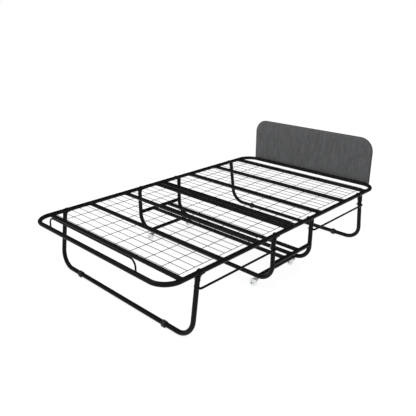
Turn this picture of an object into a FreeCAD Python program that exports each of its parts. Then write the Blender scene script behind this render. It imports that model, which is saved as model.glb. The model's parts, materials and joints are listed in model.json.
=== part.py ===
import FreeCAD, Part
import math
import os

V = FreeCAD.Vector

# Rollaway bed, millimetres. X runs across the bed, +Y to the head, +Z up.
# While the parts are modelled, y = 0 is the joint between the two halves of the deck.
# They are moved along Y at the end, so that the origin is on the floor at the middle of the bed.
# Left and right are as seen from the foot of the bed: right is +X.
# "Outboard" is away from the middle joint, towards the end of the bed.

X_AXIS = V(1, 0, 0)
Y_AXIS = V(0, 1, 0)
SIDES = {"left": -1, "right": 1}
WALL = 1.5

# Deck frames: one bent tube for each half
RAIL_X = 584.5
RAIL_Z = 366.5
RAIL_D = 26.0
FRAME_BEND = 100.0
END_TUBE_Y = {"foot": 984.5, "head": 1000.0}
RAIL_INNER_END = 5.0
PLUG_CAP = 3.5
PLUG_DEPTH = 14.0

# Crossbars and welded wire mesh
CROSSBAR_D = 25.0
CROSSBAR_Z = 364.0
CROSSBAR_FIRST = 27.5
CROSSBAR_PITCH = 280.2
CROSSBAR_COPE = 6.0
CROSSBAR_NAMES = ["inner", "second", "third", "outer"]
LONG_WIRE_D = 3.2
LONG_WIRE_PITCH = 122.0
LONG_WIRE_COUNT = 10
CROSS_WIRE_D = 3.0
CROSS_WIRE_FIRST = 25.0
CROSS_WIRE_PITCH = 52.44
CROSS_WIRE_COUNT = 17
WIRE_OVERHANG = 3.0
WELD_SINK = 0.5
MESH_GAP = 0.02

# Mattress retainer hoop on the foot tube
HOOP_X = 384.0
HOOP_TOP = 440.0
HOOP_D = 9.5
HOOP_BEND = 38.0

# Headboard
BOARD_X = 520.0
BOARD_BOTTOM = 350.0
BOARD_TOP = 692.0
BOARD_CORNER = 100.0
BOARD_FOOT_CORNER = 12.0
BOARD_GAP = 0.3
PAD_THICK = 12.0
PANEL_THICK = 12.0
BOLT_X = [-390.0, -130.0, 130.0, 390.0]
BOLT_D = 6.0
BOLT_BITE = 9.0
BOLT_HEAD_D = 14.0
BOLT_HEAD = 3.5

# Legs
LEG_D = 26.6
LEG_BEND = 100.0
CENTER_LEG_Y = {"foot": 182.0, "head": 192.0}
CENTER_LEG_TOP = 352.0
CENTER_BAR_Z = 81.0
END_LEG_Y = {"foot": 772.0, "head": 781.6}
END_LEG_TOP = 349.5
END_BAR_Z = 17.0
END_LEG_LEAN = 8.0

# Trolley bars between the two center legs
SIDE_BAR_D = 25.0
SIDE_BAR_Z = 190.0
CASTER_RAIL_X = 486.0
CASTER_RAIL_Z = 80.0
CASTER_RAIL_D = 24.0
CRADLE_D = 24.0
CRADLE_Y = {"foot": -65.0, "middle": 5.0, "head": 75.0}

# Yokes: a pair of stamped cheeks on each leg top, and the pins through the rails
CENTER_PIN_INSET = 30.0
END_PIN_INSET = 27.0
CHEEK_THICK = 2.2
EYE_R = 9.5
CROWN_INSET = 18.0
CROWN_RISE = 11.0
SHOULDER_DROP = 12.0
STRAP_HALF = 5.0
STRAP_DROP = {"foot": 40.0, "head": 52.0}
KNEE_DROP = 24.0
GUSSET_INSET = 9.0
GUSSET_DROP = 13.6
HEEL_INSET = 20.0
PIN_D = 8.0
PIN_CLEARANCE = 0.1
PIN_HEAD_D = 13.0
PIN_HEAD = 2.5

# Link rods on the right, parallel to the rail, keep the end legs at one angle while the bed folds
LINK_Z = 292.0
LINK_OFFSET = 33.8
LINK_D = 12.0
LINK_X = 606.5
LINK_BEND = 9.0
LINK_INNER_X = 565.5
LINK_BORE = 12.1
LINK_OPEN_BORE = 12.8
CLIP_D = 19.0
CLIP_THICK = 2.0
CLIP_GAP = 0.5

# Rubber feet
FOOT_X = 385.0
FOOT_D = 33.0
FOOT_WIDTH = 28.0
FOOT_PAD_DEPTH = 26.0
FOOT_PAD_TOP = 12.0
FOOT_LUG = 8.0
FOOT_LUG_RISE = 4.0

# Casters
CASTER_X = 470.0
TRAIL = 20.0
WHEEL_D = 50.0
WHEEL_WIDTH = 19.0
RIM_INNER_D = 39.0
HUB_D = 17.0
WEB_WIDTH = 7.0
TREAD_ROUND = 2.5
AXLE_D = 6.0
AXLE_CLEARANCE = 0.16
AXLE_HEAD_D = 10.0
AXLE_HEAD = 1.5
FORK_GAP = 1.0
FORK_THICK = 2.0
FORK_EYE_R = 8.5
CROWN_BOTTOM = 53.0
CROWN_THICK = 3.0
CROWN_BACK = 15.0
CROWN_FRONT = 12.0
FORK_HIP = 12.0
STEM_D = 8.0
STEM_TOP = 88.0
COLLAR_D = 18.0
COLLAR_TOP = 64.3
SOCKET_BORE = 8.2
SOCKET_D = 14.0
SOCKET_TOP = 89.5
SOCKET_FLANGE_D = 22.0
SOCKET_FLANGE = 3.0
SOCKET_FIT = 0.1

HEADBOARD_FRONT = END_TUBE_Y["head"] + RAIL_D / 2 + BOARD_GAP
ORIGIN_Y = (HEADBOARD_FRONT + PAD_THICK + PANEL_THICK - END_TUBE_Y["foot"] - RAIL_D / 2) / 2
LEAN_SLOPE = math.tan(math.radians(END_LEG_LEAN))
CHEEK_INNER = LEG_D / 2
CHEEK_OUTER = CHEEK_INNER + CHEEK_THICK


def way(end):
    """Direction along Y from the middle joint to one end of the bed."""
    return 1 if end == "head" else -1


def center_pin_y(end):
    return way(end) * (CENTER_LEG_Y[end] - CENTER_PIN_INSET)


def end_pin_y(end):
    return way(end) * (END_LEG_Y[end] - END_PIN_INSET)


def rounded_path(points, radius):
    """Wire through the points with each inner corner bent to the radius."""
    edges = []
    start = points[0]
    for before, corner, after in zip(points, points[1:], points[2:]):
        back = (before - corner).normalize()
        onward = (after - corner).normalize()
        half = back.getAngle(onward) / 2
        inward = (back + onward).normalize()
        enter = corner + back * (radius / math.tan(half))
        leave = corner + onward * (radius / math.tan(half))
        middle = corner + inward * (radius / math.sin(half) - radius)
        edges.append(Part.LineSegment(start, enter).toShape())
        edges.append(Part.Arc(enter, middle, leave).toShape())
        start = leave
    edges.append(Part.LineSegment(start, points[-1]).toShape())
    return Part.Wire(edges)


def bent_rod(points, radius, diameter):
    """Solid round bar along a rounded path."""
    section = Part.Wire(Part.makeCircle(diameter / 2, points[0], points[1] - points[0]))
    return rounded_path(points, radius).makePipeShell([section], True, False)


def bent_tube(points, radius, diameter):
    """Round tube with a constant wall, bent like a rod."""
    outer = bent_rod(points, radius, diameter)
    return outer.cut(bent_rod(points, radius, diameter - 2 * WALL))


def bar(start, finish, diameter):
    """Straight solid cylinder between two points."""
    along = finish - start
    return Part.makeCylinder(diameter / 2, along.Length, start, along)


def straight_tube(start, finish, diameter):
    return bar(start, finish, diameter).cut(bar(start, finish, diameter - 2 * WALL))


def cross_hole(y, z, diameter):
    """Drill along X through everything at this height and place, on both sides of the bed."""
    reach = LINK_X + LINK_D
    return bar(V(-reach, y, z), V(reach, y, z), diameter)


def box_between(low, high):
    size = high - low
    return Part.makeBox(size.x, size.y, size.z, low)


def joined(shapes):
    """One solid from several that overlap or touch."""
    return shapes[0].multiFuse(shapes[1:]).removeSplitter()


def largest_solid(shape):
    """The main piece that is left once the offcuts are gone."""
    return max(shape.Solids, key=lambda solid: solid.Volume)


def closed_face(edges):
    return Part.Face(Part.Wire(Part.__sortEdges__([edge.toShape() for edge in edges])))


def deck_nodes(end):
    """Frame tube, plugs, crossbars and mesh of one half of the deck."""
    sign = way(end)
    inner_y = sign * RAIL_INNER_END
    outer_y = sign * END_TUBE_Y[end]
    corners = [(-RAIL_X, inner_y), (-RAIL_X, outer_y), (RAIL_X, outer_y), (RAIL_X, inner_y)]
    frame = bent_tube([V(x, y, RAIL_Z) for x, y in corners], FRAME_BEND, RAIL_D)
    for pin_y in (center_pin_y(end), end_pin_y(end)):
        frame = frame.cut(cross_hole(pin_y, RAIL_Z, PIN_D + PIN_CLEARANCE))
    if end == "head":
        frame = frame.cut(Part.makeCompound([bolt_hole(x) for x in BOLT_X]))
    nodes = {end + "_deck_frame": frame, end + "_rail_end_plugs": rail_end_plugs(sign)}
    rails = [bar(V(side * RAIL_X, -abs(outer_y), RAIL_Z), V(side * RAIL_X, abs(outer_y), RAIL_Z), RAIL_D)
             for side in SIDES.values()]
    for index, name in enumerate(CROSSBAR_NAMES):
        y = sign * (CROSSBAR_FIRST + index * CROSSBAR_PITCH)
        reach = RAIL_X - CROSSBAR_COPE
        tube = straight_tube(V(-reach, y, CROSSBAR_Z), V(reach, y, CROSSBAR_Z), CROSSBAR_D)
        nodes[end + "_deck_crossbar_" + name] = largest_solid(tube.cut(Part.makeCompound(rails)))
    nodes[end + "_wire_mesh"] = wire_mesh(sign)
    return nodes


def rail_end_plugs(sign):
    """Plastic caps with a shank in the inner ends of both rails."""
    plugs = []
    for side in SIDES.values():
        x = side * RAIL_X
        tube_end = V(x, sign * RAIL_INNER_END, RAIL_Z)
        cap = bar(V(x, sign * (RAIL_INNER_END - PLUG_CAP), RAIL_Z), tube_end, RAIL_D)
        shank = bar(tube_end, tube_end + V(0, sign * PLUG_DEPTH, 0), RAIL_D - 2 * WALL)
        plugs.append(joined([cap, shank]))
    return Part.makeCompound(plugs)


def wire_mesh(sign):
    """Welded mesh: long wires on the crossbars, with cross wires on top of them."""
    long_z = CROSSBAR_Z + CROSSBAR_D / 2 + MESH_GAP + LONG_WIRE_D / 2
    cross_z = long_z + (LONG_WIRE_D + CROSS_WIRE_D) / 2 - WELD_SINK
    last_y = CROSS_WIRE_FIRST + (CROSS_WIRE_COUNT - 1) * CROSS_WIRE_PITCH
    edge_x = LONG_WIRE_PITCH * (LONG_WIRE_COUNT - 1) / 2
    wires = []
    for index in range(LONG_WIRE_COUNT):
        x = index * LONG_WIRE_PITCH - edge_x
        start = V(x, sign * (CROSS_WIRE_FIRST - WIRE_OVERHANG), long_z)
        wires.append(bar(start, V(x, sign * (last_y + WIRE_OVERHANG), long_z), LONG_WIRE_D))
    for index in range(CROSS_WIRE_COUNT):
        y = sign * (CROSS_WIRE_FIRST + index * CROSS_WIRE_PITCH)
        reach = edge_x + WIRE_OVERHANG
        wires.append(bar(V(-reach, y, cross_z), V(reach, y, cross_z), CROSS_WIRE_D))
    return wires[0].multiFuse(wires[1:])


def retainer_hoop():
    """Bent rod on the foot tube that keeps the mattress from sliding off."""
    y = -END_TUBE_Y["foot"]
    corners = [(-HOOP_X, RAIL_Z), (-HOOP_X, HOOP_TOP), (HOOP_X, HOOP_TOP), (HOOP_X, RAIL_Z)]
    hoop = bent_rod([V(x, y, z) for x, z in corners], HOOP_BEND, HOOP_D)
    tube = bar(V(-RAIL_X, y, RAIL_Z), V(RAIL_X, y, RAIL_Z), RAIL_D)
    return largest_solid(hoop.cut(tube))


def headboard_outline(y):
    """Board outline in an XZ plane, with large rounded top corners."""
    corners = [
        (V(BOARD_X, y, BOARD_BOTTOM), BOARD_FOOT_CORNER),
        (V(BOARD_X, y, BOARD_TOP), BOARD_CORNER),
        (V(-BOARD_X, y, BOARD_TOP), BOARD_CORNER),
        (V(-BOARD_X, y, BOARD_BOTTOM), BOARD_FOOT_CORNER),
    ]
    edges = []
    starts = []
    for index, (corner, radius) in enumerate(corners):
        back = (corners[index - 1][0] - corner).normalize()
        onward = (corners[(index + 1) % len(corners)][0] - corner).normalize()
        middle = corner + (back + onward) * (radius * (1 - math.sqrt(0.5)))
        starts.append(corner + onward * radius)
        edges.append(Part.Arc(corner + back * radius, middle, starts[-1]))
    for index, edge in enumerate(edges[:]):
        edges.append(Part.LineSegment(starts[index - 1], edge.StartPoint))
    return closed_face(edges)


def bolt_hole(x):
    """Clearance for one headboard bolt through the tube, pad and panel."""
    start = V(x, END_TUBE_Y["head"] - RAIL_D, RAIL_Z)
    return bar(start, V(x, HEADBOARD_FRONT + PAD_THICK + BOLT_BITE, RAIL_Z), BOLT_D)


def headboard_bolt(x):
    """Domed bolt from the bed side of the head tube into the panel."""
    seat = V(x, END_TUBE_Y["head"] - RAIL_D / 2, RAIL_Z)
    dome_rise = BOLT_HEAD_D / 2
    dome_radius = (dome_rise ** 2 + BOLT_HEAD ** 2) / (2 * BOLT_HEAD)
    dome = Part.makeSphere(dome_radius, seat + V(0, dome_radius - BOLT_HEAD, 0))
    head = dome.common(bar(seat - V(0, BOLT_HEAD, 0), seat, BOLT_HEAD_D))
    shank = bar(seat, V(x, HEADBOARD_FRONT + PAD_THICK + BOLT_BITE, RAIL_Z), BOLT_D)
    return joined([head, shank])


def headboard_nodes():
    bolts = [headboard_bolt(x) for x in BOLT_X]
    holes = Part.makeCompound([bolt_hole(x) for x in BOLT_X])
    pad = headboard_outline(HEADBOARD_FRONT).extrude(V(0, PAD_THICK, 0))
    panel = headboard_outline(HEADBOARD_FRONT + PAD_THICK).extrude(V(0, PANEL_THICK, 0))
    return {
        "headboard_pad": pad.cut(holes),
        "headboard_panel": panel.cut(holes),
        "headboard_bolts": Part.makeCompound(bolts),
    }


def leg_tube(end, top_z, bar_z, rail_y, slope):
    """Tube bent to a U. It stands in a plane that leans outboard by the slope."""
    corners = [(-RAIL_X, top_z), (-RAIL_X, bar_z), (RAIL_X, bar_z), (RAIL_X, top_z)]
    points = [V(x, way(end) * (rail_y + (RAIL_Z - z) * slope), z) for x, z in corners]
    return bent_tube(points, LEG_BEND, LEG_D)


def yoke_cheek(end, pin_inset, lean):
    """Outline of one cheek: an eye round the pin, and a strap down the leaning leg.

    u is outboard of the leg axis and v is above the rail axis.
    """
    along_leg = FreeCAD.Rotation(X_AXIS, lean)
    eye_side = EYE_R * math.sin(math.radians(45))
    crown = V(0, -CROWN_INSET, CROWN_RISE)
    tip = V(0, -pin_inset - EYE_R, 0)
    eye_corner = V(0, -pin_inset - eye_side, -eye_side)
    eye_bottom = V(0, -pin_inset, -EYE_R)
    heel = V(0, -HEEL_INSET, -EYE_R)
    gusset = along_leg.multVec(V(0, -GUSSET_INSET, -GUSSET_DROP))
    knee = along_leg.multVec(V(0, -STRAP_HALF, -KNEE_DROP))
    strap_in = along_leg.multVec(V(0, -STRAP_HALF, -STRAP_DROP[end]))
    strap_out = along_leg.multVec(V(0, STRAP_HALF, -STRAP_DROP[end]))
    shoulder = along_leg.multVec(V(0, STRAP_HALF, -SHOULDER_DROP))
    return closed_face([
        Part.Arc(tip, crown, shoulder),
        Part.LineSegment(shoulder, strap_out),
        Part.LineSegment(strap_out, strap_in),
        Part.LineSegment(strap_in, knee),
        Part.Arc(knee, gusset, heel),
        Part.LineSegment(heel, eye_bottom),
        Part.Arc(eye_bottom, eye_corner, tip),
    ])


def yoke_pair(end, pin_inset, lean, leg_y, pin_y):
    """Cheeks on the tops of one leg, left and right, bored for their pins."""
    cheek = yoke_cheek(end, pin_inset, lean)
    if end == "foot":
        cheek = cheek.mirror(V(0, 0, 0), Y_AXIS)
    plates = []
    for side in SIDES.values():
        for face in (CHEEK_INNER, -CHEEK_OUTER):
            seat = V(side * RAIL_X + face, leg_y, RAIL_Z)
            plates.append(cheek.translated(seat).extrude(V(CHEEK_THICK, 0, 0)))
    return Part.makeCompound(plates).cut(cross_hole(pin_y, RAIL_Z, PIN_D))


def pin_pair(pin_y):
    """Rivets through the cheeks and rails of both sides."""
    pins = []
    for side in SIDES.values():
        middle = V(side * RAIL_X, pin_y, RAIL_Z)
        shaft = bar(middle - X_AXIS * CHEEK_OUTER, middle + X_AXIS * CHEEK_OUTER, PIN_D)
        heads = [bar(middle + X_AXIS * (face * CHEEK_OUTER),
                     middle + X_AXIS * (face * (CHEEK_OUTER + PIN_HEAD)), PIN_HEAD_D)
                 for face in SIDES.values()]
        pins.append(joined([shaft] + heads))
    return Part.makeCompound(pins)


def center_link_y(end):
    return center_pin_y(end) + way(end) * LINK_OFFSET


def end_link_y(end):
    return end_pin_y(end) + way(end) * LINK_OFFSET


def link_hole(y, diameter):
    """Cutter for a link rod's bore through the right upright of a leg."""
    return bar(V(0, y, LINK_Z), V(LINK_X + LINK_D, y, LINK_Z), diameter)


def end_leg_nodes(end):
    """Leaning leg with its yokes, pins and rubber feet."""
    sign = way(end)
    tube = leg_tube(end, END_LEG_TOP, END_BAR_Z, END_LEG_Y[end], LEAN_SLOPE)
    tube = tube.cut(link_hole(end_link_y(end), LINK_OPEN_BORE))
    bar_y = sign * (END_LEG_Y[end] + (RAIL_Z - END_BAR_Z) * LEAN_SLOPE)
    return {
        end + "_end_leg": tube,
        end + "_end_leg_yokes": yoke_pair(end, END_PIN_INSET, END_LEG_LEAN,
                                          sign * END_LEG_Y[end], end_pin_y(end)),
        end + "_end_leg_pins": pin_pair(end_pin_y(end)),
        end + "_rubber_feet": Part.makeCompound([rubber_foot(side * FOOT_X, bar_y)
                                                 for side in SIDES.values()]),
    }


def rubber_foot(x, y):
    """Sleeve on the leg's bottom bar with a flat sole and a small grip lug on top."""
    half = V(FOOT_WIDTH / 2, 0, 0)
    middle = V(x, y, END_BAR_Z)
    sleeve = bar(middle - half, middle + half, FOOT_D)
    sole = box_between(V(x - FOOT_WIDTH / 2, y - FOOT_PAD_DEPTH / 2, 0),
                       V(x + FOOT_WIDTH / 2, y + FOOT_PAD_DEPTH / 2, FOOT_PAD_TOP))
    lug_top = END_BAR_Z + FOOT_D / 2 + FOOT_LUG_RISE
    lug = box_between(V(x - FOOT_LUG, y - FOOT_LUG / 2, END_BAR_Z),
                      V(x + FOOT_LUG, y + FOOT_LUG / 2, lug_top))
    return joined([sleeve, sole, lug]).cut(bar(middle - half, middle + half, LEG_D))


def center_leg_nodes(end):
    """Upright leg of the trolley, with the yokes and pins that the deck folds on."""
    leg_y = way(end) * CENTER_LEG_Y[end]
    tube = leg_tube(end, CENTER_LEG_TOP, CENTER_BAR_Z, CENTER_LEG_Y[end], 0)
    tube = tube.cut(link_hole(center_link_y(end), LINK_BORE))
    for side in SIDES.values():
        low = V(side * CASTER_X, leg_y, CENTER_BAR_Z - LEG_D)
        tube = tube.cut(bar(low, V(side * CASTER_X, leg_y, CENTER_BAR_Z), SOCKET_D + SOCKET_FIT))
    return {
        end + "_center_leg": tube,
        end + "_fold_yokes": yoke_pair(end, CENTER_PIN_INSET, 0, leg_y, center_pin_y(end)),
        end + "_fold_pins": pin_pair(center_pin_y(end)),
    }


def trolley_bars():
    """Side bars, caster rails and cradle bars, coped where they are welded."""
    foot_y = -CENTER_LEG_Y["foot"]
    head_y = CENTER_LEG_Y["head"]
    uprights = Part.makeCompound([
        bar(V(side * RAIL_X, y, 0), V(side * RAIL_X, y, RAIL_Z), LEG_D)
        for side in SIDES.values() for y in (foot_y, head_y)])
    low_bars = Part.makeCompound([
        bar(V(-RAIL_X, y, CENTER_BAR_Z), V(RAIL_X, y, CENTER_BAR_Z), LEG_D) for y in (foot_y, head_y)])
    nodes = {}
    side_bars = []
    for name, side in SIDES.items():
        ends = [V(side * RAIL_X, y, SIDE_BAR_Z) for y in (foot_y, head_y)]
        side_bars.append(bar(*ends, SIDE_BAR_D))
        side_tube = straight_tube(*ends, SIDE_BAR_D).cut(uprights)
        nodes[name + "_lower_side_bar"] = largest_solid(side_tube)
        ends = [V(side * CASTER_RAIL_X, y, CASTER_RAIL_Z) for y in (foot_y, head_y)]
        rail = straight_tube(*ends, CASTER_RAIL_D).cut(low_bars)
        nodes[name + "_caster_rail"] = largest_solid(rail)
    for name, y in CRADLE_Y.items():
        tube = straight_tube(V(-RAIL_X, y, SIDE_BAR_Z), V(RAIL_X, y, SIDE_BAR_Z), CRADLE_D)
        nodes["cradle_bar_" + name] = largest_solid(tube.cut(Part.makeCompound(side_bars)))
    return nodes


def link_rod_nodes():
    """Bent rods on the right from each center leg to its end leg, kept in by push-on clips."""
    nodes = {}
    clip_outer = RAIL_X - LEG_D / 2 - CLIP_GAP
    for end in END_TUBE_Y:
        pivots = (center_link_y(end), end_link_y(end))
        stops = [(LINK_INNER_X, pivots[0]), (LINK_X, pivots[0]),
                 (LINK_X, pivots[1]), (LINK_INNER_X, pivots[1])]
        points = [V(x, y, LINK_Z) for x, y in stops]
        nodes[end + "_link_rod"] = bent_rod(points, LINK_BEND, LINK_D)
        clips = []
        for y in pivots:
            outer = V(clip_outer, y, LINK_Z)
            inner = V(clip_outer - CLIP_THICK, y, LINK_Z)
            clips.append(bar(inner, outer, CLIP_D).cut(bar(inner, outer, LINK_D)))
        nodes[end + "_link_rod_clips"] = Part.makeCompound(clips)
    return nodes


def caster_fork(x, y):
    """Stem, collar, crown and two cheeks that trail to the left of the swivel axis."""
    outer_half = WHEEL_WIDTH / 2 + FORK_GAP + FORK_THICK
    crown_top = CROWN_BOTTOM + CROWN_THICK
    crown = box_between(V(-CROWN_BACK, -outer_half, CROWN_BOTTOM), V(CROWN_FRONT, outer_half, crown_top))
    eye = V(-TRAIL, 0, WHEEL_D / 2)
    eye_back = eye - V(FORK_EYE_R, 0, 0)
    eye_front = eye + V(FORK_EYE_R, 0, 0)
    cheek = closed_face([
        Part.LineSegment(V(CROWN_FRONT, 0, crown_top), V(-CROWN_BACK, 0, crown_top)),
        Part.LineSegment(V(-CROWN_BACK, 0, crown_top), eye_back),
        Part.Arc(eye_back, eye - V(0, 0, FORK_EYE_R), eye_front),
        Part.LineSegment(eye_front, V(CROWN_FRONT, 0, crown_top - FORK_HIP)),
        Part.LineSegment(V(CROWN_FRONT, 0, crown_top - FORK_HIP), V(CROWN_FRONT, 0, crown_top)),
    ])
    cheeks = [cheek.translated(V(0, start, 0)).extrude(V(0, FORK_THICK, 0))
              for start in (-outer_half, outer_half - FORK_THICK)]
    collar = bar(V(0, 0, crown_top), V(0, 0, COLLAR_TOP), COLLAR_D)
    stem = bar(V(0, 0, crown_top), V(0, 0, STEM_TOP), STEM_D)
    fork = joined([crown, collar, stem] + cheeks)
    bore = bar(eye - Y_AXIS * WHEEL_D, eye + Y_AXIS * WHEEL_D, AXLE_D)
    return fork.cut(bore).translated(V(x, y, 0))


def caster_wheel(x, y):
    """Wheel with a hub, a thin web and a rounded tread, turned about Y."""
    half = WHEEL_WIDTH / 2
    tread = WHEEL_D / 2
    blank = bar(V(0, -half, 0), V(0, half, 0), WHEEL_D)
    blank = blank.makeFillet(TREAD_ROUND, [edge for edge in blank.Edges if edge.isClosed()])
    bore = bar(V(0, -half, 0), V(0, half, 0), AXLE_D + AXLE_CLEARANCE)
    recesses = []
    for face in SIDES.values():
        inner = V(0, face * WEB_WIDTH / 2, 0)
        outer = V(0, face * half, 0)
        recesses.append(bar(inner, outer, RIM_INNER_D).cut(bar(inner, outer, HUB_D)))
    wheel = blank.cut(Part.makeCompound(recesses + [bore]))
    return wheel.translated(V(x - TRAIL, y, tread))


def caster_axle(x, y):
    """Riveted axle through both cheeks of the fork."""
    half = WHEEL_WIDTH / 2 + FORK_GAP + FORK_THICK
    shaft = bar(V(0, -half, 0), V(0, half, 0), AXLE_D)
    heads = [bar(V(0, face * half, 0), V(0, face * (half + AXLE_HEAD), 0), AXLE_HEAD_D)
             for face in SIDES.values()]
    return joined([shaft] + heads).translated(V(x - TRAIL, y, WHEEL_D / 2))


def caster_socket(x, y):
    """Flanged sleeve welded into the bottom bar of the center leg."""
    seat = V(x, y, CENTER_BAR_Z - LEG_D / 2)
    bottom = seat - V(0, 0, SOCKET_FLANGE)
    top = V(x, y, SOCKET_TOP)
    return joined([bar(bottom, seat, SOCKET_FLANGE_D), bar(seat, top, SOCKET_D)]).cut(
        bar(bottom, top, SOCKET_BORE))


def caster_nodes():
    nodes = {}
    sockets = []
    for end in END_TUBE_Y:
        y = way(end) * CENTER_LEG_Y[end]
        for name, side in SIDES.items():
            x = side * CASTER_X
            prefix = end + "_" + name + "_caster_"
            nodes[prefix + "fork"] = caster_fork(x, y)
            nodes[prefix + "wheel"] = caster_wheel(x, y)
            nodes[prefix + "axle"] = caster_axle(x, y)
            sockets.append(caster_socket(x, y))
    nodes["caster_sockets"] = Part.makeCompound(sockets)
    return nodes


def all_nodes():
    nodes = {}
    for end in END_TUBE_Y:
        nodes.update(deck_nodes(end))
        nodes.update(center_leg_nodes(end))
        nodes.update(end_leg_nodes(end))
    nodes["mattress_retainer_hoop"] = retainer_hoop()
    nodes.update(headboard_nodes())
    nodes.update(trolley_bars())
    nodes.update(link_rod_nodes())
    nodes.update(caster_nodes())
    return nodes


os.makedirs("parts", exist_ok=True)
for node, shape in all_nodes().items():
    shape.translate(V(0, -ORIGIN_Y, 0))
    shape.exportStep("parts/" + node + ".step")
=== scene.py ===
import json
import math
import random

import bmesh
import bpy
from mathutils import Matrix, Vector

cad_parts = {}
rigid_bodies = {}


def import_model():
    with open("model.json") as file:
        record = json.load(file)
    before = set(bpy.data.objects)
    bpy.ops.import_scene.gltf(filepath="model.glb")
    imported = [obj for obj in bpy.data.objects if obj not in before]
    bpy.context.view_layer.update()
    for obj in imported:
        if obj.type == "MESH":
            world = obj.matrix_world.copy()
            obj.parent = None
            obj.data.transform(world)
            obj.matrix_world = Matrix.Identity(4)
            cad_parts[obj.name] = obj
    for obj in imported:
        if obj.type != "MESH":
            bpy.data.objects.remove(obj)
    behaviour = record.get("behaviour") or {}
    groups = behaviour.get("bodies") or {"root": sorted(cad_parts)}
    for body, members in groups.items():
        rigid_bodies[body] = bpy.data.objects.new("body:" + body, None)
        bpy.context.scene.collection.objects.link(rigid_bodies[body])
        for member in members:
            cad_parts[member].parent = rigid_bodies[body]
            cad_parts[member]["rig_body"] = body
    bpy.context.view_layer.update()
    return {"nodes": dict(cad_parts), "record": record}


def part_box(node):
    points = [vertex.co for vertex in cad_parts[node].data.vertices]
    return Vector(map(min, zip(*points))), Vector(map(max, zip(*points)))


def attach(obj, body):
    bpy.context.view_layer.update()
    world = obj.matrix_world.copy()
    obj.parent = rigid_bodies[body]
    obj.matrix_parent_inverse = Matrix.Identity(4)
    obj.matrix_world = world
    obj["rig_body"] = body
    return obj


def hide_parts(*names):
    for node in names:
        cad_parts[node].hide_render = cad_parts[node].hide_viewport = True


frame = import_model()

NODES = frame["nodes"]
SLOT_OF = {part["node"]: part["material_slot"] for part in frame["record"]["subparts"]}
ENDS = ("foot", "head")
SIDES = {"left": -1, "right": 1}
RNG = random.Random(7)

X = Vector((1, 0, 0))
Y = Vector((0, 1, 0))
Z = Vector((0, 0, 1))

# Sizes that the frame's boxes don't give, in metres
WALL = 0.0015
TUBE_BEND = 0.100
HOOP_BEND = 0.038
LINK_BEND = 0.009
HOLLOW_DEPTH = 0.020
WELD_BEAD = 0.0015
HOOP_WELD_BEAD = 0.0013
HOOP_SUNK = 0.001
LONG_WIRE_RADIUS = 0.0016
CROSS_WIRE_RADIUS = 0.0015
WIRE_OVERHANG = 0.003
SPOT_WELD_RADIUS = 0.0024
RIVET_HEAD = 0.0025
RIVET_SHANK = 0.004
AXLE_HEAD = 0.0015
AXLE_SHANK = 0.003
SOCKET_INSET = 0.011
RACE_BOTTOM = 0.0555
WHEEL_HUB = 0.0085
WHEEL_RIM = 0.0195
WHEEL_BORE = 0.0031
WHEEL_WEB = 0.0035
RIB_WIDTH = 0.0018
RIB_DEPTH = 0.005
BOARD_CORNER = 0.100
BOARD_FOOT_CORNER = 0.012
LEAST_CORNER = 0.002
PAD_INSET = 0.0006
PAD_ROUND = 0.007
CLOTH_TURNED_IN = 0.034
PIPING_RADIUS = 0.0016
STAPLE_INSET = 0.024
STAPLE_SPACING = 0.045
MOST_SWELLING = 0.0011
BOLT_HEAD = 0.0035
BOLT_SHANK = 0.003

# Counts and angles
LONG_WIRE_COUNT = 10
CROSS_WIRE_COUNT = 17
RIB_COUNT = 6
BOLT_COUNT = 4
CLOTH_FRAMES = 20
TUBE_SIDES = 40
ROD_SIDES = 24
WIRE_SIDES = 12
BEAD_SIDES = 8
ARC_STEPS = 20
WELD_STEPS = 96
END_LEG_LEAN = math.radians(8)
SMOOTH_BELOW = math.radians(38)
BEVEL_ABOVE = math.radians(32)
FLAT_WITHIN = math.radians(0.5)


def box(node):
    """Lowest and highest corner of a CAD node at rest."""
    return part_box(node)


def middle(node):
    low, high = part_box(node)
    return (low + high) / 2


def size(node):
    low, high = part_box(node)
    return high - low


def scaled(color, factor):
    """A color made darker or lighter, at most white."""
    return tuple(min(1.0, channel * factor) for channel in color)


# The frame's main lines
RAIL_RADIUS = size("foot_deck_frame").z / 2
RAIL_Z = middle("foot_deck_frame").z
RAIL_X = size("foot_deck_frame").x / 2 - RAIL_RADIUS
JOINT_Y = (box("foot_rail_end_plugs")[1].y + box("head_rail_end_plugs")[0].y) / 2
LEG_RADIUS = size("foot_center_leg").y / 2
CASTER_RAIL_OFFSET = middle("left_caster_rail").z - box("foot_center_leg")[0].z - LEG_RADIUS
CASTER_X = box("caster_sockets")[1].x - SOCKET_INSET


# ---------------------------------------------------------------- materials


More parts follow.
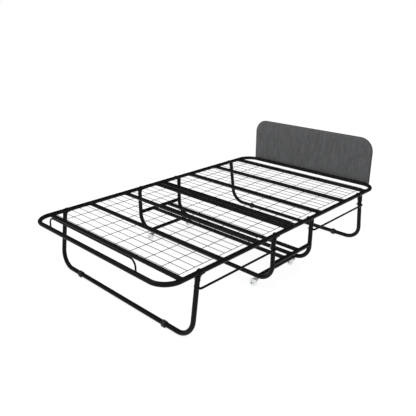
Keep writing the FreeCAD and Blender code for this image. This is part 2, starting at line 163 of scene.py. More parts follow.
class Shader:
    """A node tree around one Principled shader, with short ways to add its textures."""

    def __init__(self, name, color, roughness, **sockets):
        self.material = bpy.data.materials.new(name)
        self.material.use_nodes = True
        self.tree = self.material.node_tree
        self.bsdf = self.tree.nodes["Principled BSDF"]
        self.bsdf.inputs["Base Color"].default_value = (*color, 1)
        self.bsdf.inputs["Roughness"].default_value = roughness
        for socket, value in sockets.items():
            self.bsdf.inputs[socket.replace("_", " ")].default_value = value
        self.coordinates = self.tree.nodes.new("ShaderNodeTexCoord").outputs["Object"]

    def node(self, kind, inputs=(), **settings):
        made = self.tree.nodes.new("ShaderNode" + kind)
        for key, value in settings.items():
            setattr(made, key, value)
        for key, value in dict(inputs).items():
            if isinstance(value, bpy.types.NodeSocket):
                self.tree.links.new(value, made.inputs[key])
            else:
                made.inputs[key].default_value = value
        return made

    def stretched(self, scale):
        """Object coordinates stretched along the axes, for grain that runs one way."""
        return self.node("Mapping", {"Vector": self.coordinates, "Scale": scale}).outputs["Vector"]

    def noise(self, scale, detail=3.0, vector=None, distortion=0.0):
        vector = vector or self.coordinates
        inputs = {"Vector": vector, "Scale": scale, "Detail": detail, "Distortion": distortion}
        return self.node("TexNoise", inputs).outputs["Fac"]

    def threads(self, direction, scale):
        """Parallel yarns of a weave, a little uneven."""
        inputs = {"Vector": self.coordinates, "Scale": scale, "Distortion": 0.35}
        return self.node("TexWave", inputs, bands_direction=direction).outputs["Fac"]

    def ramp(self, value, low, high):
        """Rescale a texture between two limits to 0..1, clamped."""
        inputs = {"Value": value, "From Min": low, "From Max": high}
        return self.node("MapRange", inputs, clamp=True).outputs["Result"]

    def between(self, value, low, high):
        inputs = {"Value": value, "To Min": low, "To Max": high}
        return self.node("MapRange", inputs, clamp=True).outputs["Result"]

    def math(self, operation, first, second=0.0):
        return self.node("Math", {0: first, 1: second}, operation=operation).outputs["Value"]

    def mix(self, factor, first, second):
        """Mix two colors; each is a socket or an RGB triple."""
        made = self.node("Mix", {"Factor": factor}, data_type="RGBA")
        for key, value in (("A", first), ("B", second)):
            socket = next(s for s in made.inputs if s.name == key and s.type == "RGBA")
            if isinstance(value, bpy.types.NodeSocket):
                self.tree.links.new(value, socket)
            else:
                socket.default_value = (*value, 1)
        return next(s for s in made.outputs if s.type == "RGBA")

    def set(self, socket, value):
        self.tree.links.new(value, self.bsdf.inputs[socket])

    def bump(self, height, strength, distance):
        """Add a height texture on top of any bump that is already there."""
        inputs = {"Height": height, "Strength": strength, "Distance": distance}
        made = self.node("Bump", inputs)
        normal = self.bsdf.inputs["Normal"]
        if normal.is_linked:
            self.tree.links.new(normal.links[0].from_socket, made.inputs["Normal"])
        self.tree.links.new(made.outputs["Normal"], normal)


def powder_coat(name, color, chip_color):
    """Satin powder coat: orange peel, faint mottling, dust and small scuffs."""
    coat = Shader(name, color, 0.42, Specular_IOR_Level=0.10)
    mottle = coat.noise(9.0, 4.0)
    lighter = scaled(color, 1.7)
    tone = coat.mix(mottle, color, lighter)
    scuffs = coat.ramp(coat.noise(55.0, 8.0, distortion=0.6), 0.68, 0.74)
    patches = coat.ramp(coat.noise(5.0, 2.0), 0.52, 0.66)
    worn = coat.math("MULTIPLY", coat.math("MULTIPLY", scuffs, patches), 0.55)
    coat.set("Base Color", coat.mix(worn, tone, chip_color))
    coat.set("Roughness", coat.between(coat.noise(22.0, 5.0), 0.34, 0.50))
    coat.bump(coat.noise(1100.0, 2.0), 0.22, 0.0002)
    coat.bump(coat.noise(160.0, 2.0), 0.10, 0.0003)
    return coat.material


def bare_metal(name, color, roughness, metallic=1.0):
    """Zinc-plated or blackened steel with fine drawn grain and dull patches."""
    metal = Shader(name, color, roughness, Metallic=metallic)
    cloud = metal.noise(60.0, 5.0)
    darker = scaled(color, 0.72)
    metal.set("Base Color", metal.mix(cloud, darker, color))
    metal.set("Roughness", metal.between(metal.noise(140.0, 4.0), roughness - 0.08, roughness + 0.14))
    metal.bump(metal.noise(1800.0, 2.0, metal.stretched((1.0, 1.0, 0.15))), 0.18, 0.0001)
    return metal.material


def moulded(name, color, roughness, grain):
    """Moulded plastic or rubber with fine texture and slight color variation."""
    plastic = Shader(name, color, roughness, Specular_IOR_Level=0.45)
    lighter = scaled(color, 1.16)
    plastic.set("Base Color", plastic.mix(plastic.noise(70.0, 4.0), color, lighter))
    plastic.set("Roughness", plastic.between(plastic.noise(230.0, 3.0), roughness - 0.06, roughness + 0.1))
    plastic.bump(plastic.noise(1500.0, 3.0), grain, 0.0002)
    return plastic.material


def headboard_cloth(name, color):
    """Plain weave of heathered yarn, with slubs that run mostly up and down."""
    cloth = Shader(name, color, 0.92, Specular_IOR_Level=0.10, Sheen_Weight=0.12, Sheen_Roughness=0.6)
    slub = cloth.noise(1.0, 4.0, cloth.stretched((330.0, 330.0, 24.0)))
    heather = cloth.noise(1.0, 3.0, cloth.stretched((95.0, 95.0, 14.0)))
    cross = cloth.noise(1.0, 3.0, cloth.stretched((48.0, 48.0, 300.0)))
    cloud = cloth.noise(7.0, 2.0)
    warp = cloth.threads("X", 250.0)
    weft = cloth.threads("Z", 210.0)
    threads = cloth.math("MULTIPLY", slub, 0.38)
    for texture, share in ((heather, 0.38), (cross, 0.16), (cloud, 0.08)):
        threads = cloth.math("ADD", threads, cloth.math("MULTIPLY", texture, share))
    tone = cloth.ramp(threads, 0.36, 0.64)
    cloth.set("Base Color", cloth.mix(tone, scaled(color, 0.66), scaled(color, 1.38)))
    weave = cloth.math("MAXIMUM", warp, weft)
    cloth.bump(weave, 0.35, 0.0005)
    cloth.bump(threads, 0.30, 0.0006)
    return cloth.material


def fibreboard(name, color):
    """Pressed board behind the cloth: flecked, matt and slightly uneven."""
    board = Shader(name, color, 0.8, Specular_IOR_Level=0.25)
    flecks = board.ramp(board.noise(420.0, 6.0), 0.40, 0.62)
    darker = scaled(color, 0.6)
    board.set("Base Color", board.mix(flecks, darker, color))
    board.set("Roughness", board.between(board.noise(90.0, 3.0), 0.7, 0.9))
    board.bump(board.noise(800.0, 4.0), 0.25, 0.0003)
    return board.material


BLACK = (0.0030, 0.0030, 0.0032)
MATERIALS = {
    "black_powder_coat": powder_coat("black_powder_coat", BLACK, (0.022, 0.022, 0.023)),
    "mesh_wire_coat": powder_coat("mesh_wire_coat", (0.0035, 0.0035, 0.0037), (0.02, 0.02, 0.021)),
    "black_plastic": moulded("black_plastic", (0.010, 0.010, 0.010), 0.5, 0.2),
    "black_rubber": moulded("black_rubber", (0.0085, 0.0085, 0.0085), 0.68, 0.35),
    "blackened_rivet": bare_metal("blackened_rivet", (0.045, 0.045, 0.048), 0.42),
    "zinc_steel": bare_metal("zinc_steel", (0.78, 0.79, 0.81), 0.30, 0.5),
    "headboard_fabric": headboard_cloth("headboard_fabric", (0.066, 0.067, 0.069)),
    "headboard_board": fibreboard("headboard_board", (0.20, 0.14, 0.085)),
    "caster_plastic": moulded("caster_plastic", (0.86, 0.87, 0.88), 0.32, 0.12),
}
TREAD = moulded("caster_tread", (0.72, 0.73, 0.74), 0.55, 0.3)
# dark steel: the axles' own colour; on the ball races the same dark colour also paints the shade under the
# swivel stem
DARK_STEEL_AND_PAINTED_SHADE = bare_metal("dark_steel_and_painted_shade", (0.060, 0.060, 0.064), 0.40)
# painted shade: the piping is darker than the cloth so that it paints the shade along the board's side
# edge
PAINTED_SHADE_PIPING = moulded("headboard_piping_painted_shade", (0.030, 0.030, 0.032), 0.85, 0.4)


# ---------------------------------------------------------------- mesh tools


def piece(name, mesh, node, stands_for=True, material=None):
    """Finish a bmesh as an object that rides with a CAD node's body and takes its finish."""
    data = bpy.data.meshes.new(name)
    bmesh.ops.recalc_face_normals(mesh, faces=mesh.faces[:])
    mesh.to_mesh(data)
    mesh.free()
    for face in data.polygons:
        face.use_smooth = True
    data.set_sharp_from_angle(angle=SMOOTH_BELOW)
    made = bpy.data.objects.new(name, data)
    bpy.context.scene.collection.objects.link(made)
    data.materials.append(material or MATERIALS[SLOT_OF[node]])
    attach(made, NODES[node]["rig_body"])
    if stands_for:
        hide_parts(node)
    return made


def rounded(points, bend, steps=ARC_STEPS):
    """Polyline through the points with each inner corner turned into an arc."""
    path = [points[0]]
    for before, corner, after in zip(points, points[1:], points[2:]):
        back = (before - corner).normalized()
        onward = (after - corner).normalized()
        half = back.angle(onward) / 2
        center = corner + (back + onward).normalized() * (bend / math.sin(half))
        arm = corner + back * (bend / math.tan(half)) - center
        for step in range(steps + 1):
            turn = Matrix.Rotation((math.pi - 2 * half) * step / steps, 3, onward.cross(back))
            path.append(center + turn @ arm)
    return path + [points[-1]]


def frames_along(path):
    """A side and an up direction at each point, carried along without twist."""
    frames = []
    forward = (path[1] - path[0]).normalized()
    side = forward.orthogonal().normalized()
    for index in range(len(path)):
        ahead = path[min(index + 1, len(path) - 1)] - path[max(index - 1, 0)]
        ahead.normalize()
        side = forward.rotation_difference(ahead) @ side
        side = (side - ahead * side.dot(ahead)).normalized()
        forward = ahead
        frames.append((side, ahead.cross(side)))
    return frames


def ring(mesh, center, side, up, radius, sides):
    corners = []
    for index in range(sides):
        angle = 2 * math.pi * index / sides
        corners.append(mesh.verts.new(center + (side * math.cos(angle) + up * math.sin(angle)) * radius))
    return corners


def bridge(mesh, first, second):
    count = len(first)
    for index in range(count):
        after = (index + 1) % count
        mesh.faces.new((first[index], first[after], second[after], second[index]))


def close(mesh, corners, tip):
    """Fan a ring to one point."""
    peak = mesh.verts.new(tip)
    for index, corner in enumerate(corners):
        mesh.faces.new((corner, corners[(index + 1) % len(corners)], peak))


def sweep(mesh, path, radius, sides, hollow=False):
    """Round bar along a path. Its ends are hollow like a tube's, or slightly rounded."""
    frames = frames_along(path)
    rings = [ring(mesh, point, side, up, radius, sides) for point, (side, up) in zip(path, frames)]
    for first, second in zip(rings, rings[1:]):
        bridge(mesh, first, second)
    for index, inward in ((0, path[1] - path[0]), (-1, path[-2] - path[-1])):
        inward = inward.normalized()
        side, up = frames[index]
        if hollow:
            lip = ring(mesh, path[index], side, up, radius - WALL, sides)
            deep = ring(mesh, path[index] + inward * HOLLOW_DEPTH, side, up, radius - WALL, sides)
            bridge(mesh, rings[index], lip)
            bridge(mesh, lip, deep)
            close(mesh, deep, path[index] + inward * HOLLOW_DEPTH)
        else:
            rim, tip = 0.18, 0.24
            lip = ring(mesh, path[index] - inward * radius * rim, side, up, radius * (1 - rim), sides)
            bridge(mesh, rings[index], lip)
            close(mesh, lip, path[index] - inward * radius * tip)


def lathe(mesh, start, axis, profile, sides=TUBE_SIDES):
    """Turn a profile of (along, radius) steps about an axis. Zero radius closes it."""
    side = axis.orthogonal().normalized()
    up = axis.cross(side)
    last = None
    tip = None
    for along, radius in profile:
        center = start + axis * along
        if radius == 0:
            if last:
                close(mesh, last, center)
            tip = center
            last = None
            continue
        corners = ring(mesh, center, side, up, radius, sides)
        if last:
            bridge(mesh, last, corners)
        elif tip is not None:
            close(mesh, corners, tip)
        last = corners


def saddle(center, into, along, bar_radius, tube_radius, offset=0.0):
    """Where a round bar meets a round tube that runs along an axis, the bar offset across both."""
    across = into.cross(along)
    if sum(across) < 0:
        across = -across
    least_depth = 0.25 * tube_radius
    points = []
    for step in range(WELD_STEPS):
        angle = 2 * math.pi * step / WELD_STEPS
        lift = bar_radius * math.cos(angle) + offset
        depth = math.sqrt(max(tube_radius ** 2 - lift ** 2, least_depth ** 2))
        points.append(center - into * depth + along * (bar_radius * math.sin(angle)) + across * lift)
    return points


def weld_bead(mesh, loop, radius=WELD_BEAD):
    """Rippled bead along a closed loop of points."""
    count = len(loop)
    rings = []
    phase = RNG.random() * 6
    for index, point in enumerate(loop):
        forward = (loop[(index + 1) % count] - loop[index - 1]).normalized()
        side = (X - forward * forward.x) if abs(forward.x) < 0.8 else (Z - forward * forward.z)
        side.normalize()
        ripple = 1 + 0.16 * math.sin(index * 1.9 + phase) + 0.08 * math.sin(index * 0.31 + 2 * phase)
        rings.append(ring(mesh, point, side, forward.cross(side), radius * ripple, BEAD_SIDES))
    for index, first in enumerate(rings):
        bridge(mesh, first, rings[(index + 1) % count])


def coped_bar(mesh, start_loop, end_loop):
    """Bar whose two end rings already follow the tubes that it is welded to."""
    first = [mesh.verts.new(point) for point in start_loop]
    last = [mesh.verts.new(point) for point in end_loop]
    bridge(mesh, first, last)
    mesh.faces.new(first)
    mesh.faces.new(last)


def welded_bar(node, loops):
    """Bar between two saddles, with a weld round each."""
    bar = bmesh.new()
    coped_bar(bar, *loops)
    piece(node + "_bar", bar, node)
    welds = bmesh.new()
    for loop in loops:
        weld_bead(welds, loop)
    piece(node + "_welds", welds, node, stands_for=False)


def bar_across(node, tube_z, tube_radius):
    """Bar from side to side, coped to the two tubes that run along the bed at one height."""
    center = middle(node)
    radius = size(node).z / 2
    loops = []
    for side in SIDES.values():
        on_tube = Vector((side * RAIL_X, center.y, tube_z))
        loops.append(saddle(on_tube, X * side, Y, radius, tube_radius, center.z - tube_z))
    welded_bar(node, loops)


def refined(node, bevel):
    """The CAD node's own shape with its sharp edges broken."""
    mesh = bmesh.new()
    mesh.from_mesh(NODES[node].data)
    bmesh.ops.remove_doubles(mesh, verts=mesh.verts[:], dist=1e-6)
    bmesh.ops.dissolve_limit(mesh, angle_limit=FLAT_WITHIN, verts=mesh.verts[:], edges=mesh.edges[:])
    sharp = [edge for edge in mesh.edges
             if len(edge.link_faces) == 2 and edge.calc_face_angle() > BEVEL_ABOVE]
    bmesh.ops.bevel(mesh, geom=sharp, offset=bevel, segments=2, profile=0.6, affect="EDGES",
                    clamp_overlap=True)
    piece(node + "_finished", mesh, node)


# ---------------------------------------------------------------- deck


def deck_frame(end):
    """Side rails and end tube, bent from one tube."""
    node = end + "_deck_frame"
    low, high = box(node)
    inner, outer = (high.y, low.y) if end == "foot" else (low.y, high.y)
    outer -= math.copysign(RAIL_RADIUS, outer)
    corners = [(-RAIL_X, inner), (-RAIL_X, outer), (RAIL_X, outer), (RAIL_X, inner)]
    path = rounded([Vector((x, y, RAIL_Z)) for x, y in corners], TUBE_BEND)
    mesh = bmesh.new()
    sweep(mesh, path, RAIL_RADIUS, TUBE_SIDES, hollow=True)
    piece(end + "_deck_tube", mesh, node)


def crossbars(end):
    """The crossbars of one half, which the wires lie on."""
    for name in ("inner", "second", "third", "outer"):
        bar_across(f"{end}_deck_crossbar_{name}", RAIL_Z, RAIL_RADIUS)


def spaced(low, high, count):
    """Places of the wires between two edges, inside their overhang."""
    start = low + WIRE_OVERHANG
    step = (high - low - 2 * WIRE_OVERHANG) / (count - 1)
    return [start + step * index for index in range(count)]


def wire_mesh(end):
    """Long and cross wires with a pressed spot weld at each crossing."""
    node = end + "_wire_mesh"
    low, high = box(node)
    long_z = low.z + LONG_WIRE_RADIUS
    cross_z = high.z - CROSS_WIRE_RADIUS
    xs = spaced(low.x, high.x, LONG_WIRE_COUNT)
    ys = spaced(low.y, high.y, CROSS_WIRE_COUNT)
    mesh = bmesh.new()
    for x in xs:
        wire = [Vector((x, low.y, long_z)), Vector((x, high.y, long_z))]
        sweep(mesh, wire, LONG_WIRE_RADIUS, WIRE_SIDES)
    for y in ys:
        wire = [Vector((low.x, y, cross_z)), Vector((high.x, y, cross_z))]
        sweep(mesh, wire, CROSS_WIRE_RADIUS, WIRE_SIDES)
    piece(end + "_mesh_wires", mesh, node)
    spots = bmesh.new()
    flattened = Matrix.Diagonal((1, 1, 0.42, 1))
    for x in xs:
        for y in ys:
            spot = Matrix.Translation((x, y, (long_z + cross_z) / 2)) @ flattened
            bmesh.ops.create_icosphere(spots, subdivisions=2, radius=SPOT_WELD_RADIUS, matrix=spot)
    piece(end + "_mesh_spot_welds", spots, node, stands_for=False)


def rail_plugs(end):
    """Plastic plugs in the open ends of the rails, with a rounded flange."""
    node = end + "_rail_end_plugs"
    low, high = box(node)
    outward = Y if end == "foot" else -Y
    face_y = high.y if end == "foot" else low.y
    mesh = bmesh.new()
    for side in SIDES.values():
        start = Vector((side * RAIL_X, face_y, RAIL_Z))
        lip = RAIL_RADIUS
        profile = [(0, 0), (0, lip * 0.55), (0.0006, lip * 0.62), (0, lip * 0.70), (0, lip - 0.0014),
                   (-0.0005, lip - 0.0005), (-0.0014, lip), (-0.0035, lip), (-0.0036, lip - WALL),
                   (-0.0174, lip - WALL - 0.0005), (-0.0174, 0)]
        lathe(mesh, start, outward, profile)
    piece(node + "_finished", mesh, node)


def retainer_hoop():
    """Bent rod that keeps the mattress on the deck, welded to the foot tube."""
    node = "mattress_retainer_hoop"
    high = box(node)[1]
    radius = size(node).y / 2
    y = middle(node).y
    edge = high.x - radius
    top = high.z - radius
    start = RAIL_Z + RAIL_RADIUS - HOOP_SUNK
    corners = [(-edge, start), (-edge, top), (edge, top), (edge, start)]
    mesh = bmesh.new()
    sweep(mesh, rounded([Vector((x, y, z)) for x, z in corners], HOOP_BEND), radius, ROD_SIDES)
    piece(node + "_rod", mesh, node)
    welds = bmesh.new()
    for x in (-edge, edge):
        loop = saddle(Vector((x, y, RAIL_Z)), -Z, X, radius, RAIL_RADIUS)
        weld_bead(welds, loop, HOOP_WELD_BEAD)
    piece(node + "_welds", welds, node, stands_for=False)


# ---------------------------------------------------------------- legs and trolley


def leg(node, lean=0.0):
    """Tube bent to a U, standing in its plane from the floor bar to both rails."""
    low, high = box(node)
    edge = high.x - LEG_RADIUS
    bar_z = low.z + LEG_RADIUS
    near = middle(node).y < 0
    bar_y = middle(node).y
    if lean:
        bar_y = (low.y + LEG_RADIUS) if near else (high.y - LEG_RADIUS)
    top = high.z - LEG_RADIUS * math.sin(lean)
    top_y = bar_y + (top - bar_z) * math.tan(lean) * (1 if near else -1)
    corners = [(-edge, top_y, top), (-edge, bar_y, bar_z), (edge, bar_y, bar_z), (edge, top_y, top)]
    path = rounded([Vector(corner) for corner in corners], TUBE_BEND)
    mesh = bmesh.new()
    sweep(mesh, path, LEG_RADIUS, TUBE_SIDES, hollow=True)
    piece(node + "_tube", mesh, node)


def mirrored(profile, length):
    """A profile from one end, followed by the same from the other end."""
    return profile + [(length - along, radius) for along, radius in reversed(profile)]


def rivet_pair(node):
    """Rivets through the yokes with domed heads on both sides."""
    high = box(node)[1]
    half = size(node).z / 2
    length = 2 * (high.x - RAIL_X)
    dome = [(0, 0), (0.0002, half * 0.45), (0.0009, half * 0.8), (0.0018, half),
            (RIVET_HEAD, half), (RIVET_HEAD, RIVET_SHANK)]
    mesh = bmesh.new()
    for side in SIDES.values():
        start = Vector((side * RAIL_X - length / 2, middle(node).y, middle(node).z))
        lathe(mesh, start, X, mirrored(dome, length))
    piece(node + "_finished", mesh, node)


def leg_to_leg_bar(node, x, along, offset=0.0):
    """Bar of the trolley from one center leg to the other, its axis above theirs by the offset."""
    z = middle(node).z - offset
    loops = []
    for end, into in (("foot", -Y), ("head", Y)):
        on_leg = Vector((x, middle(end + "_center_leg").y, z))
        loops.append(saddle(on_leg, into, along, size(node).z / 2, LEG_RADIUS, offset))
    welded_bar(node, loops)


def trolley_bars():
    """Side bars and caster rails from leg to leg, and the cradle bars across them."""
    for name, side in SIDES.items():
        leg_to_leg_bar(name + "_lower_side_bar", side * RAIL_X, Z)
        rail_node = name + "_caster_rail"
        leg_to_leg_bar(rail_node, middle(rail_node).x, X, CASTER_RAIL_OFFSET)
    side_bar_radius = size("left_lower_side_bar").z / 2
    for name in ("foot", "middle", "head"):
        node = "cradle_bar_" + name
        bar_across(node, middle(node).z, side_bar_radius)


def link_rod(end):
    """Rod beside the right legs with both ends bent in through them."""
    node = end + "_link_rod"
    low, high = box(node)
    radius = size(node).z / 2
    outer = high.x - radius
    ys = (low.y + radius, high.y - radius)
    corners = [(low.x, ys[0]), (outer, ys[0]), (outer, ys[1]), (low.x, ys[1])]
    path = rounded([Vector((x, y, middle(node).z)) for x, y in corners], LINK_BEND, 10)
    mesh = bmesh.new()
    sweep(mesh, path, radius, ROD_SIDES)
    piece(node + "_finished", mesh, node)


# ---------------------------------------------------------------- casters


def caster_wheel(node):
    """Hard wheel body with ribs between hub and rim, and a softer tread."""
    center = middle(node)
    radius = size(node).z / 2
    half = size(node).y / 2
    start = center - Y * half
    web = half - WHEEL_WEB
    face = [(0.0, WHEEL_BORE), (0.0, WHEEL_HUB - 0.0006), (0.0006, WHEEL_HUB), (web, WHEEL_HUB + 0.0006),
            (web, WHEEL_RIM - 0.0008), (0.0008, WHEEL_RIM), (0.0, WHEEL_RIM + 0.0008),
            (0.0, radius - 0.0042), (0.0008, radius - 0.0030)]
    body = bmesh.new()
    lathe(body, start, Y, mirrored(face, 2 * half) + [face[0]])
    wheel_ribs(body, center, web)
    piece(node + "_body", body, node)
    crown = [(0.0012, radius - 0.0032), (0.0014, radius - 0.0014), (0.0035, radius - 0.0002),
             (half * 0.8, radius)]
    tread = bmesh.new()
    lathe(tread, start, Y, mirrored(crown, 2 * half) + [crown[0]])
    piece(node + "_tread", tread, node, stands_for=False, material=TREAD)


def wheel_ribs(mesh, center, web):
    """Short radial ribs that stiffen the web on both faces of a wheel."""
    rib = Matrix.Diagonal((WHEEL_RIM - WHEEL_HUB, RIB_DEPTH, RIB_WIDTH, 1))
    outward = Matrix.Translation(((WHEEL_HUB + WHEEL_RIM) / 2, 0, 0))
    for face in (-1, 1):
        for index in range(RIB_COUNT):
            spin = Matrix.Rotation(2 * math.pi * index / RIB_COUNT, 4, "Y")
            seat = Matrix.Translation(center + Y * face * web)
            bmesh.ops.create_cube(mesh, size=1.0, matrix=seat @ spin @ outward @ rib)


def caster_axle(node):
    """Axle with domed, upset heads."""
    low = box(node)[0]
    center = middle(node)
    radius = size(node).z / 2
    dome = [(0, 0), (0.0001, radius * 0.4), (0.0005, radius * 0.8), (0.0011, radius),
            (AXLE_HEAD, radius), (AXLE_HEAD, AXLE_SHANK)]
    mesh = bmesh.new()
    lathe(mesh, Vector((center.x, low.y, center.z)), Y, mirrored(dome, size(node).y))
    piece(node + "_finished", mesh, node, material=DARK_STEEL_AND_PAINTED_SHADE)


def caster_race(end, name):
    """Pressed ball race between the fork's crown and its stem, in dark steel whose darkness is partly its
    own colour and partly painted shade under the stem.
    """
    node = f"{end}_{name}_caster_fork"
    start = Vector((SIDES[name] * CASTER_X, middle(end + "_center_leg").y, RACE_BOTTOM))
    profile = [(0, 0), (0, 0.0112), (0.0012, 0.0122), (0.0034, 0.0122), (0.0044, 0.0112),
               (0.0048, 0.0092), (0.0060, 0.0092), (0.0066, 0)]
    mesh = bmesh.new()
    lathe(mesh, start, Z, profile)
    piece(node + "_race", mesh, node, stands_for=False, material=DARK_STEEL_AND_PAINTED_SHADE)


# ---------------------------------------------------------------- headboard


def board_loop(inset, y, steps=12):
    """Rounded outline of the board, moved in by the inset, at one depth."""
    low, high = box("headboard_pad")
    left, right = low.x + inset, high.x - inset
    bottom, top = low.z + inset, high.z - inset
    big = max(BOARD_CORNER - inset, LEAST_CORNER)
    small = max(BOARD_FOOT_CORNER - inset, LEAST_CORNER)
    arcs = [(right - big, top - big, big, 0), (left + big, top - big, big, 90),
            (left + small, bottom + small, small, 180), (right - small, bottom + small, small, 270)]
    points = []
    for x, z, radius, start in arcs:
        for step in range(steps + 1):
            angle = math.radians(start + 90 * step / steps)
            points.append(Vector((x + radius * math.cos(angle), y, z + radius * math.sin(angle))))
    return points


def loft(mesh, profile):
    """Board outlines bridged one after the other, from steps of (inset, depth)."""
    rings = [[mesh.verts.new(point) for point in board_loop(inset, y)] for inset, y in profile]
    for first, second in zip(rings, rings[1:]):
        bridge(mesh, first, second)
    return rings


def padding(front, seam):
    """Foam and cloth of the front, with softly rounded edges."""
    steps = 4
    profile = [(PAD_INSET, seam - 0.0002)]
    for step in range(steps + 1):
        angle = math.radians(90 * step / steps)
        profile.append((PAD_INSET + PAD_ROUND * (1 - math.cos(angle)),
                        front + 0.0012 + PAD_ROUND * (1 - math.sin(angle))))
    shell = bmesh.new()
    rings = loft(shell, profile)
    shell.faces.new(rings[0])
    shell.faces.new(rings[-1])
    pad = piece("headboard_padding", shell, "headboard_pad")
    inflate(pad, seam)


def wrapped_edge(seam, back):
    """Cloth that goes round the edge and is turned in on the back."""
    reach = CLOTH_TURNED_IN
    profile = [(0.0004, seam + 0.0003), (-0.0002, seam + 0.002), (-0.0002, back - 0.003),
               (0.0006, back - 0.0008), (0.0030, back - 0.0001), (reach, back - 0.0001),
               (reach + 0.001, back - 0.0006), (reach, back - 0.0012), (0.0030, back - 0.0012),
               (0.0016, back - 0.003), (0.0016, seam + 0.0003)]
    wrap = bmesh.new()
    rings = loft(wrap, profile)
    bridge(wrap, rings[-1], rings[0])
    piece("headboard_wrapped_edge", wrap, "headboard_pad", stands_for=False)


def back_board(seam, back):
    """Bare board inside the wrapped edge."""
    board = bmesh.new()
    rings = loft(board, [(0.0018, seam + 0.0004), (0.0018, back - 0.0020), (0.0026, back - 0.0014)])
    board.faces.new(rings[0])
    board.faces.new(rings[-1])
    piece("headboard_back_board", board, "headboard_panel")


def edge_piping(seam):
    """Piping along the seam, slightly uneven; its colour, darker than the cloth, is painted shade for the
    board's side edge.
    """
    piping = bmesh.new()
    weld_bead(piping, board_loop(0.0008, seam, steps=20), PIPING_RADIUS)
    piece("headboard_edge_piping_painted_shade", piping, "headboard_pad", stands_for=False, material=PAINTED_SHADE_PIPING)


def staple_row(back):
    """Staples that hold the cloth, evenly spaced round the back."""
    staples = bmesh.new()
    line = board_loop(STAPLE_INSET, back, steps=20)
    travelled = 0.0
    for here, there in zip(line, line[1:] + line[:1]):
        gap = (there - here).length
        along = (there - here).normalized() if gap > 1e-6 else X
        while travelled < gap:
            staple(staples, here + along * travelled, along)
            travelled += STAPLE_SPACING
        travelled -= gap
    piece("headboard_staples", staples, "headboard_panel", stands_for=False,
          material=MATERIALS["zinc_steel"])


def headboard():
    """Padded front, wrapped edges, piping, bare board behind, and staples."""
    front = box("headboard_pad")[0].y
    seam = box("headboard_pad")[1].y
    back = box("headboard_panel")[1].y
    padding(front, seam)
    wrapped_edge(seam, back)
    back_board(seam, back)
    edge_piping(seam)
    staple_row(back)


def staple(mesh, center, along):
    """Crown of one staple pressed into the cloth."""
    half = along * 0.0055
    sunk = Y * -0.0010
    proud = Y * 0.0002
    points = [center - half + sunk, center - half + proud, center + half + proud, center + half + sunk]
    sweep(mesh, rounded(points, 0.0006, 4), 0.00045, 8)


def inflate(pad, seam):
    """Swell the padding with cloth pressure, then hold the swelling to what the foam allows."""
    remesh = pad.modifiers.new("remesh", "REMESH")
    remesh.mode = "VOXEL"
    remesh.voxel_size = 0.005
    apply_modifiers(pad)
    rest = [vertex.co.copy() for vertex in pad.data.vertices]
    fixed = pad.vertex_groups.new(name="fixed")
    fixed.add([v.index for v in pad.data.vertices if v.co.y > seam - 0.004], 1.0, "REPLACE")
    run_cloth(pad)
    for vertex, start in zip(pad.data.vertices, rest):
        move = vertex.co - start
        if move.length > MOST_SWELLING:
            vertex.co = start + move.normalized() * MOST_SWELLING
    smooth = pad.modifiers.new("smooth", "SMOOTH")
    smooth.iterations = 6
    finer = pad.modifiers.new("finer", "SUBSURF")
    finer.levels = 1
    finer.render_levels = 1
    apply_modifiers(pad)
    for face in pad.data.polygons:
        face.use_smooth = True


def run_cloth(pad):
    """Let pressure blow up the padding for a few frames, held at its seam."""
    cloth = pad.modifiers.new("cloth", "CLOTH")
    cloth.settings.use_pressure = True
    cloth.settings.uniform_pressure_force = 4.0
    cloth.settings.effector_weights.gravity = 0
    cloth.settings.vertex_group_mass = "fixed"
    cloth.point_cache.frame_start = 1
    cloth.point_cache.frame_end = CLOTH_FRAMES
    for number in range(1, CLOTH_FRAMES + 1):
        bpy.context.scene.frame_set(number)
    apply_modifiers(pad)
    bpy.context.scene.frame_set(1)


def apply_modifiers(made):
    """Replace the mesh by its evaluated self and drop the modifiers."""
    graph = bpy.context.evaluated_depsgraph_get()
    graph.update()
    data = bpy.data.meshes.new_from_object(made.evaluated_get(graph), depsgraph=graph)
    made.modifiers.clear()
    made.data = data


def headboard_bolts():
    """Domed bolts with a round recess, from the bed side of the head tube into the board."""
    node = "headboard_bolts"
    low, high = box(node)
    half = size(node).z / 2
    length = size(node).y
    under = BOLT_HEAD + 0.0006
    profile = [(0.0012, 0), (0.0012, 0.0016), (0.0002, 0.0024), (0.0008, half * 0.6),
               (0.0022, half * 0.92), (BOLT_HEAD, half), (under, half - 0.0004),
               (under, BOLT_SHANK), (length - 0.0005, BOLT_SHANK), (length, 0)]
    mesh = bmesh.new()
    for index in range(BOLT_COUNT):
        x = low.x + half + (high.x - low.x - 2 * half) * index / (BOLT_COUNT - 1)
        lathe(mesh, Vector((x, low.y, middle(node).z)), Y, profile, sides=28)
    piece(node + "_finished", mesh, node)


# ---------------------------------------------------------------- assembly

for end in ENDS:
    deck_frame(end)
    crossbars(end)
    wire_mesh(end)
    rail_plugs(end)
    leg(end + "_center_leg")
    leg(end + "_end_leg", END_LEG_LEAN)
    rivet_pair(end + "_fold_pins")
    rivet_pair(end + "_end_leg_pins")
    refined(end + "_fold_yokes", 0.0005)
    refined(end + "_end_leg_yokes", 0.0005)
    refined(end + "_rubber_feet", 0.0012)
    link_rod(end)
    refined(end + "_link_rod_clips", 0.0003)
    for name in SIDES:
        refined(f"{end}_{name}_caster_fork", 0.0004)
        caster_race(end, name)
        caster_wheel(f"{end}_{name}_caster_wheel")
        caster_axle(f"{end}_{name}_caster_axle")
trolley_bars()
retainer_hoop()
refined("caster_sockets", 0.0004)
headboard()
headboard_bolts()


# ---------------------------------------------------------------- camera, floor and light


CAMERA_PLACE = (2.0871, JOINT_Y - 2.2628, 1.5061)
CAMERA_YAW = math.radians(43.96)
CAMERA_PITCH = math.radians(-20.99)
CAMERA_LENS = 43.7
FLOOR_REACH = 30


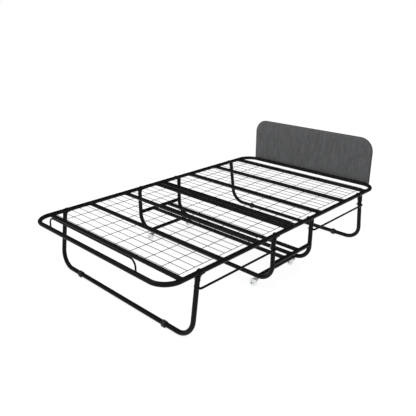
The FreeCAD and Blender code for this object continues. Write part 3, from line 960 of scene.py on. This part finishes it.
def add_camera():
    data = bpy.data.cameras.new("camera")
    data.lens = CAMERA_LENS
    data.sensor_width = 36.0
    data.clip_end = 2 * FLOOR_REACH
    camera = bpy.data.objects.new("camera", data)
    camera.location = CAMERA_PLACE
    level = math.cos(CAMERA_PITCH)
    forward = Vector((-math.sin(CAMERA_YAW) * level, math.cos(CAMERA_YAW) * level, math.sin(CAMERA_PITCH)))
    camera.rotation_euler = forward.to_track_quat("-Z", "Y").to_euler()
    bpy.context.scene.collection.objects.link(camera)
    bpy.context.scene.camera = camera


def add_floor():
    mesh = bmesh.new()
    bmesh.ops.create_grid(mesh, x_segments=1, y_segments=1, size=FLOOR_REACH)
    data = bpy.data.meshes.new("floor")
    mesh.to_mesh(data)
    mesh.free()
    floor = bpy.data.objects.new("floor", data)
    bpy.context.scene.collection.objects.link(floor)
    pale = Shader("floor", (0.15, 0.15, 0.15), 0.9, Specular_IOR_Level=0.0,
                  Emission_Color=(1, 1, 1, 1), Emission_Strength=0.86)
    data.materials.append(pale.material)


def add_light(name, location, width, power):
    """Round area light aimed at the floor under the middle of the bed."""
    data = bpy.data.lights.new(name, "AREA")
    data.shape = "DISK"
    data.size = width
    data.energy = power
    light = bpy.data.objects.new(name, data)
    light.location = location
    light.rotation_euler = (-Vector(location)).to_track_quat("-Z", "Y").to_euler()
    bpy.context.scene.collection.objects.link(light)


def add_world():
    """White studio all round, much weaker where it is only reflected."""
    world = bpy.data.worlds.new("studio")
    world.use_nodes = True
    tree = world.node_tree
    background = tree.nodes["Background"]
    background.inputs["Color"].default_value = (1, 1, 1, 1)
    path = tree.nodes.new("ShaderNodeLightPath")
    level = tree.nodes.new("ShaderNodeMapRange")
    level.inputs["To Min"].default_value = 1.0
    level.inputs["To Max"].default_value = 0.12
    tree.links.new(path.outputs["Is Glossy Ray"], level.inputs["Value"])
    tree.links.new(level.outputs["Result"], background.inputs["Strength"])
    bpy.context.scene.world = world
    bpy.context.scene.view_settings.view_transform = "Standard"


add_camera()
add_floor()
add_light("key", (-1.5, -3.0, 4.5), 3.0, 120)
add_light("fill", (4.0, -1.0, 3.0), 3.0, 50)
add_world()
